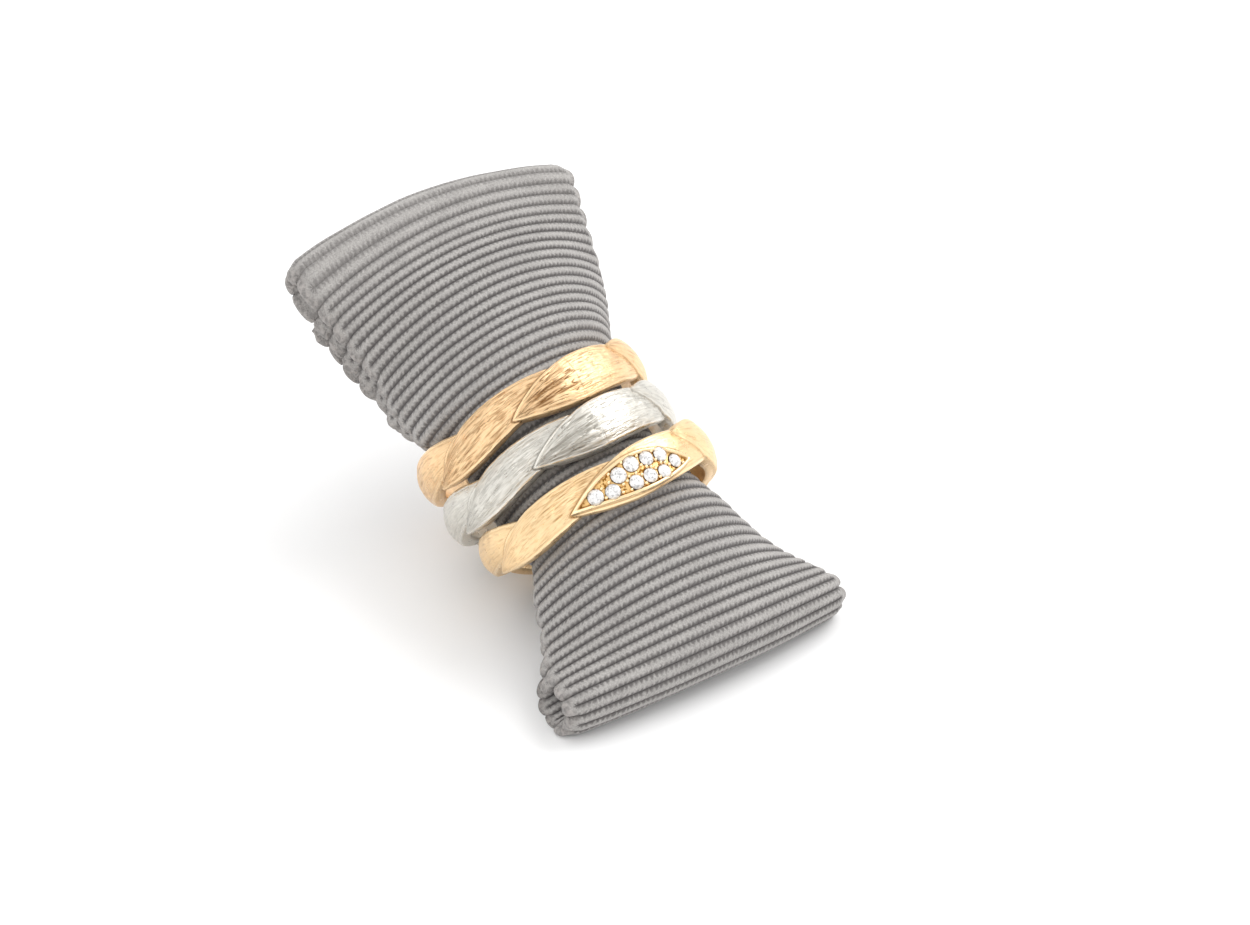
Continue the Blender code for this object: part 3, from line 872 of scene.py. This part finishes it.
def leaf_forms(ring, degrees, x, rng):
    """Forms and strokes of all the leaves over the ring's grid, stacked leaf by leaf."""
    forms = []
    for number, leaf in enumerate(LEAVES):
        form = leaf_form(leaf, degrees, x)
        strength, fade = ring["strokes"].get(number, PLAIN_STROKES)
        form["strokes"] = strength * (1 - fade * smooth(form["place"], *STROKE_FADE_SPAN))
        form["mark"] = SOFT_LEAVES.get(number, 1.0)
        cuts = ring["cuts"].get(number, ring["cuts"]["plain"])
        form["cut"] = engraved(form, leaf_length(leaf), cuts, rng)
        forms.append(form)
    return {key: np.stack([np.broadcast_to(form[key], x.shape) for form in forms]) for key in forms[0]}


def band_surface(ring, degrees, x):
    """Radius of the band over its grid, from leaves that each lie on the stem of the one before,
    and the numbers that its material reads."""
    rng = np.random.default_rng(ring["seed"])
    leaves = leaf_forms(ring, degrees, x, rng)
    order = np.where(leaves["distance"] > 0, leaves["place"], NO_LEAF)
    top = np.argmin(order, axis=0)[None]
    taken = {key: np.take_along_axis(values, top, axis=0)[0] for key, values in leaves.items()}
    np.put_along_axis(order, top, NO_LEAF, axis=0)
    below = np.argmin(order, axis=0)[None]
    covers = np.take_along_axis(order, below, axis=0)[0] < NO_LEAF
    base = np.take_along_axis(leaves["surface"], below, axis=0)[0] + LEAF_STEP
    surface = taken["surface"]
    raised = (surface + base + np.sqrt((surface - base) ** 2 + OVERLAP_SOFTNESS ** 2)) / 2
    surface = np.where(covers, raised, surface)

    over = (leaves["place"] > -CREASE_BEFORE_TIP) & (leaves["place"] < taken["place"] - CREASE_LEAD)
    over &= leaves["distance"] < 0
    creases = ridge(leaves["distance"], 0.0, CREASE_WIDTH) * leaves["mark"]
    crease = np.max(np.where(over, creases, 0.0), axis=0)
    inside = taken["distance"]
    full = smooth(taken["half"], *FULL_LINES_SPAN) * taken["mark"]
    cut = taken["cut"] * smooth(inside, *CUT_EDGE_SPAN)
    radius = surface + rounded(inside, LEAF_ROUND) - CREASE_DEPTH * crease - cut
    radius += RIM_HEIGHT * (ridge(inside, *RIM_LINE) - 0.5 * ridge(inside, *GROOVE_LINE)) * full
    radius += SWELL * lattice_noise(rng, SWELL_GRID, degrees / 360.0, x / SWELL_WIDTH + 0.5)
    # Painted shade: dark in the cuts by their depth, in the creases and along the groove inside each rim
    shade = np.maximum(np.clip(cut / DARKEST_CUT, 0.0, 1.0), crease)
    shade = np.maximum(shade, GROOVE_SHADE * ridge(inside, *GROOVE_SHADE_LINE) * full)
    return np.where(inside > 0, radius, EDGE_RADIUS - LEAF_GAP_DEPTH), {
        "leaf_along": taken["along"] + LEAF_GRAIN_SHIFT * top[0],
        "leaf_across": taken["across"],
        # Painted highlight along each leaf's edge
        "rim": ridge(inside, *RIM_HIGHLIGHT_LINE) * taken["mark"],
        "strokes": taken["strokes"],
        "shade": shade,
    }


def tray_center(turn):
    return curved(turn, *TRAY_MIDDLE)


def tray_half(turn):
    return TRAY_HALF * np.maximum(np.sin(np.pi * turn ** TRAY_SKEW), 0.0) ** TRAY_FULLNESS


def tray_turn(from_top):
    """Place along the tray, from 0 to 1, for an angle from the ring's top."""
    return (from_top - TRAY_START) / (TRAY_END - TRAY_START)


def distance_on_tray(degrees, x, stone):
    """Distance from a stone's middle, over the tray."""
    return np.hypot(np.radians(degrees - stone["angle"]) * GIRDLE_RADIUS, x - stone["along"])


def tray_surface(degrees, x, radius, values):
    """Sets the tray into its leaf: a polished rim, also painted bright as a highlight, a sunk floor and
    drilled seats, with lines of painted shade along its edges. Gives the new radius and the numbers that the
    material reads."""
    from_top = np.mod(degrees + 180.0, 360.0) - 180.0
    length = math.radians(TRAY_END - TRAY_START) * UNROLLED_RADIUS
    outline = closed_outline(length, tray_center(OUTLINE_PLACES), tray_half(OUTLINE_PLACES))
    inside = distance_inside(tray_turn(from_top), length, x, outline)
    on_rim = smooth(inside, *TRAY_RIM_SPAN)
    floor = smooth(inside, *TRAY_FLOOR_SPAN)
    crown = TRAY_RIM_CROWN * np.clip(1 - ((inside - TRAY_RIM / 2) / (TRAY_RIM / 2)) ** 2, 0.0, 1.0)
    radius = radius * (1 - on_rim) + (TRAY_RIM_RADIUS + crown) * on_rim
    radius = radius * (1 - floor) + TRAY_FLOOR_RADIUS * floor
    for stone in STONES:
        seat = stone["diameter"] / 2 + SEAT_GAP
        away = distance_on_tray(from_top, x, stone)
        depth = SEAT_DEPTH * np.clip(1 - away / seat, 0.0, 1.0)
        radius = np.where(away < seat, np.minimum(radius, GIRDLE_RADIUS - SEAT_TOP - depth), radius)
    # Painted shade: none on the rim, and lines of it along the tray's edges
    shade = values["shade"] * (1 - on_rim)
    for line in (TRAY_OUTER_LINE, TRAY_INNER_LINE):
        shade = np.maximum(shade, TRAY_SHADE * ridge(inside, *line))
    # Painted highlight on the tray's rim, as on the leaves' rims
    rim = np.maximum(values["rim"] * (1 - on_rim), on_rim * (1 - floor))
    return radius, {**values, "shade": shade, "rim": rim, "tray_floor": floor}


def ring_matrix(ring):
    """From a ring's own frame, with x along its axis and z to its top, to the world."""
    tilt = Matrix.Rotation(math.radians(ROLL_TILT), 4, "Y")
    center = tilt @ Vector((ring["along"], 0.0, ring["above"])) + Vector((0.0, 0.0, ROLL_HEIGHT))
    lean = Matrix.Rotation(math.radians(ring["lean"]), 4, "Y")
    yaw = Matrix.Rotation(-math.radians(ring["yaw"]), 4, "Z")
    spin = Matrix.Rotation(-math.radians(ring["spin"]), 4, "X")
    return Matrix.Translation(center + Vector(BASE_SHIFT)) @ yaw @ lean @ spin


def transformed(points, matrix):
    turn = np.array(matrix)
    return points @ turn[:3, :3].T + turn[:3, 3]


def polar(degrees, radius, x):
    """Points of a ring, in its own frame, from angles off its top, radii and places on its axis."""
    angle = np.radians(degrees)
    return np.stack([x + 0 * radius, radius * np.sin(angle), radius * np.cos(angle)], axis=-1)


def band_edges(angles):
    """Where the band begins and ends along the ring's axis, over all its leaves."""
    low = np.full(angles.shape, np.inf)
    high = -low
    for leaf in LEAVES:
        place = leaf_place(leaf, angles)
        within = (place >= 0) & (place <= 1)
        center = leaf_center(leaf, place)
        half = leaf_half_width(leaf, np.clip(place, 0.0, 1.0))
        low = np.where(within, np.minimum(low, center - half), low)
        high = np.where(within, np.maximum(high, center + half), high)
    return low, high


def side_wall(side, edge, inward):
    """Radius and place on the axis of points from the outer surface's edge down to the bore."""
    foot = BORE_RADIUS + BORE_ROUND
    corner = BORE_ROUND * BORE_CORNER
    return [
        (foot + (edge - foot) * 0.6, side),
        (foot + (edge - foot) * 0.2, side),
        (np.full_like(side, BORE_RADIUS + corner), side + inward * corner),
    ]


def bore_wall(low, high):
    walls = []
    for share in np.linspace(0.0, 1.0, BORE_COLUMNS):
        across = (high - BORE_ROUND) * (1 - share) + (low + BORE_ROUND) * share
        walls.append((np.full_like(across, BORE_RADIUS), across))
    return walls


def make_ring(ring):
    """Makes one band and gives how far it was lifted, so that it stands as its solid does."""
    angles = np.linspace(0.0, 360.0, RING_STEPS, endpoint=False)[:, None]
    low, high = band_edges(angles)
    even = np.linspace(0.0, 1.0, RING_COLUMNS)[None, :]
    crowded = EDGE_CROWDING * (1 - np.cos(np.pi * even)) / 2 + (1 - EDGE_CROWDING) * even
    x = low + (high - low) * (COLUMN_INSET + (1 - 2 * COLUMN_INSET) * crowded)
    radius, values = band_surface(ring, angles, x)
    if ring["tray"]:
        radius, values = tray_surface(angles, x, radius, values)
    walls = side_wall(high, radius[:, -1:], -1.0) + bore_wall(low, high)
    walls += side_wall(low, radius[:, :1], 1.0)[::-1]
    all_radius = np.concatenate([radius] + [wall[0] for wall in walls], axis=1)
    all_x = np.concatenate([x] + [wall[1] for wall in walls], axis=1)
    points = transformed(polar(angles, all_radius, all_x), ring_matrix(ring))
    lift = 0.0
    if ring["on_table"]:
        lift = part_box(ring["name"])[0].z / MM - points[:, :, 2].min()
        points[:, :, 2] += lift
    plain = np.zeros((len(x), len(walls)))
    values = {key: np.concatenate([numbers, plain], axis=1) for key, numbers in values.items()}
    name = ring["name"].replace("_ring", "_band")
    band = new_piece(name, points, grid_faces(*all_x.shape, True), values)
    band.data.materials.append(gold_material(ring))
    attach(band, "root")
    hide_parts(ring["name"])
    return lift


def strand_marks(tree, along, across, lines):
    """Fine strokes along the leaves, painted dark as shade: thin bands of a noise, broken up by another."""
    sparse = vector(tree, multiply(tree, along, 0.7), multiply(tree, across, 7.5))
    strand = math_node(tree, "ABSOLUTE", subtract(tree, noise(tree, sparse, 1.0, 1.0), 0.5))
    strand = map_range(tree, strand, 0.0, 0.075, 1.0, 0.0)
    broken = map_range(tree, noise(tree, lines, 0.45, 1.0), 0.42, 0.58)
    return multiply(tree, multiply(tree, strand, broken), attribute(tree, "strokes"))


def gold_material(ring):
    """Satin gold with hatching along its leaves, painted dark shade in its cuts and a painted bright
    highlight on its rims.
    """
    finish = GOLD[ring["slot"]]
    made = material(ring["slot"], GOLD_ROUGHNESS, 1.0)
    tree = made.node_tree
    shader = principled(made)
    along = attribute(tree, "leaf_along")
    across = attribute(tree, "leaf_across")
    rim = attribute(tree, "rim")
    satin = subtract(tree, 1.0, rim)
    lines = vector(tree, multiply(tree, along, 0.9), multiply(tree, across, 14.0))
    hatching = map_range(tree, noise(tree, lines, 1.0, 3.0, 0.6), 0.3, 0.7)
    hatching = multiply(tree, hatching, ring["hatching"])
    strand = multiply(tree, strand_marks(tree, along, across, lines), satin)
    place = object_place(tree)
    grain = map_range(tree, noise(tree, place, 1500.0, 5.0), 0.3, 0.7)
    painted_hole_shade = map_range(tree, noise(tree, place, 4500.0, 1.0), 0.56, 0.62)
    tone = multiply_add(tree, grain, 0.4, hatching)
    metal = ramp(tree, tone, (0.1, finish["mid"]), (0.7, finish["light"]))
    # Painted highlight: the rims are brightened to the light tone
    metal = mix(tree, rim, metal, finish["light"])
    # Painted shade: small dark spots on the tray floor stand for shaded drilled holes
    metal = mix(tree, attribute(tree, "tray_floor"), metal, mix(tree, painted_hole_shade, TRAY_GOLD, finish["dark"]))
    # Painted shade: the shade marks and the fine strokes turn the colour dark
    marks = math_node(tree, "MAXIMUM", multiply(tree, attribute(tree, "shade"), 0.85), strand)
    metal = mix(tree, marks, metal, finish["dark"])
    tree.links.new(metal, shader.inputs["Base Color"])
    rough = multiply_add(tree, multiply(tree, grain, satin), SATIN_ROUGHNESS, GOLD_ROUGHNESS)
    tree.links.new(rough, shader.inputs["Roughness"])
    relief = multiply(tree, multiply_add(tree, grain, 0.5, hatching), satin)
    add_relief(made, subtract(tree, relief, strand), GOLD_RELIEF)
    return made


def stone_points(size):
    points = []
    for sides, radius, height, turn in BRILLIANT:
        reach = radius * size
        for side in range(sides):
            angle = 2 * math.pi * (side / sides + turn / 16)
            points.append((reach * math.cos(angle), reach * math.sin(angle), height * size))
    return points


def stone_matrix(stone):
    """Stands a stone's axis on the ring's radius, with its girdle's middle at the origin."""
    turn = Matrix.Rotation(-math.radians(stone["angle"]), 4, "X")
    center = polar(stone["angle"], GIRDLE_RADIUS, stone["along"])
    return Matrix.Translation(Vector(center)) @ turn


def make_stone(number, stone, to_world, gem):
    work = bmesh.new()
    for point in stone_points(stone["diameter"] / 2):
        work.verts.new(point)
    bmesh.ops.convex_hull(work, input=work.verts)
    spin = Matrix.Rotation(number * STONE_SPIN, 4, "Z")
    matrix = Matrix.Scale(MM, 4) @ to_world @ stone_matrix(stone) @ spin
    bmesh.ops.transform(work, matrix=matrix, verts=work.verts)
    bmesh.ops.recalc_face_normals(work, faces=work.faces[:])
    mesh = mesh_from(work, f"brilliant_{number:02d}")
    rng = np.random.default_rng(SEED + number)
    tones = rng.choice(FACET_TONES, len(mesh.polygons), p=FACET_SHARES)
    facets = mesh.attributes.new("facet", "FLOAT", "FACE")
    facets.data.foreach_set("value", tones.astype(np.float32))
    made = new_object(mesh.name, mesh)
    made.data.materials.append(gem)
    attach(made, "root")
    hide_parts(f"diamond_{number:02d}")


def diamond_material():
    """Clear and bright. A facet's own tone stands for the light that the cut sends back out."""
    made = material("diamond", 0.02)
    tree = made.node_tree
    shader = principled(made)
    color = ramp(tree, attribute(tree, "facet"), (0.0, FACET_DARK), (1.0, FACET_LIGHT))
    tree.links.new(color, shader.inputs["Base Color"])
    shader.inputs["Transmission Weight"].default_value = 0.25
    shader.inputs["IOR"].default_value = 2.42
    return made


def grain_fits(degrees, x, placed):
    """True inside the tray, clear of the stones and of the other grains."""
    turn = tray_turn(degrees)
    if not GRAIN_TURNS[0] < turn < GRAIN_TURNS[1]:
        return False
    if abs(x - tray_center(turn)) > tray_half(turn) - TRAY_RIM + GRAIN_OVER_RIM:
        return False
    for stone in STONES:
        if distance_on_tray(degrees, x, stone) < stone["diameter"] / 2 + GRAIN_REACH - GRAIN_OVERLAP:
            return False
    for other_degrees, other_x in placed:
        away = math.hypot(math.radians(degrees - other_degrees) * GIRDLE_RADIUS, x - other_x)
        if away < 2 * GRAIN_RADIUS:
            return False
    return True


def make_grains(to_world):
    """Beads of gold raised against the stones, up to six to a stone where there is room."""
    work = bmesh.new()
    placed = []
    for stone in STONES:
        reach = stone["diameter"] / 2 + GRAIN_REACH
        for number in range(GRAINS_AROUND):
            angle = (number + 0.5) * 2 * math.pi / GRAINS_AROUND
            x = stone["along"] + reach * math.sin(angle)
            degrees = stone["angle"] + math.degrees(reach * math.cos(angle) / GIRDLE_RADIUS)
            if not grain_fits(degrees, x, placed):
                continue
            placed.append((degrees, x))
            center = polar(degrees, GIRDLE_RADIUS + GRAIN_HEIGHT, x)
            matrix = Matrix.Scale(MM, 4) @ to_world @ Matrix.Translation(Vector(center))
            bmesh.ops.create_icosphere(work, subdivisions=2, radius=GRAIN_RADIUS, matrix=matrix)
    mesh = mesh_from(work, "setting_grains")
    mesh.shade_smooth()
    made = new_object(mesh.name, mesh)
    made.data.materials.append(material("grain_gold", 0.2, 1.0, GOLD["yellow_gold"]["light"]))
    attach(made, "root")


def make_rings():
    for ring in RINGS:
        lift = make_ring(ring)
        if ring["tray"]:
            to_world = Matrix.Translation((0.0, 0.0, lift)) @ ring_matrix(ring)
            gem = diamond_material()
            for number, stone in enumerate(STONES, start=1):
                make_stone(number, stone, to_world, gem)
            make_grains(to_world)


def make_stage():
    bpy.ops.mesh.primitive_plane_add(size=3.0, location=(0.0, 0.0, 0.0))
    floor = bpy.context.object
    floor.name = "floor"
    floor.data.materials.append(material("floor", 0.9, 0.0, FLOOR_COLOR))
    world = bpy.data.worlds.new("studio")
    bpy.context.scene.world = world
    world.use_nodes = True
    background = world.node_tree.nodes["Background"]
    background.inputs["Color"].default_value = (1.0, 1.0, 1.0, 1.0)
    background.inputs["Strength"].default_value = 1.12
    bpy.context.scene.view_settings.view_transform = "Standard"


def level_axes():
    """Level directions to the camera's right and towards it."""
    azimuth = math.radians(CAMERA_AZIMUTH)
    right = Vector((math.sin(azimuth), math.cos(azimuth), 0.0))
    toward = Vector((math.cos(azimuth), -math.sin(azimuth), 0.0))
    return right, toward


def aimed(place, target):
    return (target - place).to_track_quat("-Z", "Y").to_euler()


def make_camera():
    right, level = level_axes()
    elevation = math.radians(CAMERA_ELEVATION)
    toward = level * math.cos(elevation) + Vector((0.0, 0.0, math.sin(elevation)))
    middle = Vector(BASE_SHIFT) + Vector((0.0, 0.0, ROLL_HEIGHT))
    place = middle + toward * CAMERA_DISTANCE
    target = middle + right * AIM_RIGHT - toward.cross(right) * AIM_DOWN
    data = bpy.data.cameras.new("camera")
    data.lens = CAMERA_LENS
    data.clip_start = 0.01
    camera = new_object("camera", data)
    camera.location = place * MM
    camera.rotation_euler = aimed(place, target)
    bpy.context.scene.camera = camera


def make_lights():
    right, toward = level_axes()
    for row in LIGHTS:
        data = bpy.data.lights.new(row["name"], "AREA")
        data.size = row["size"]
        data.energy = row["energy"]
        light = new_object(row["name"], data)
        light.location = right * row["right"] + toward * row["toward"] + Vector((0.0, 0.0, row["up"]))
        light.rotation_euler = aimed(light.location, Vector(LIGHT_AIM))


make_stage()
make_camera()
make_lights()
make_cloth()
make_rings()
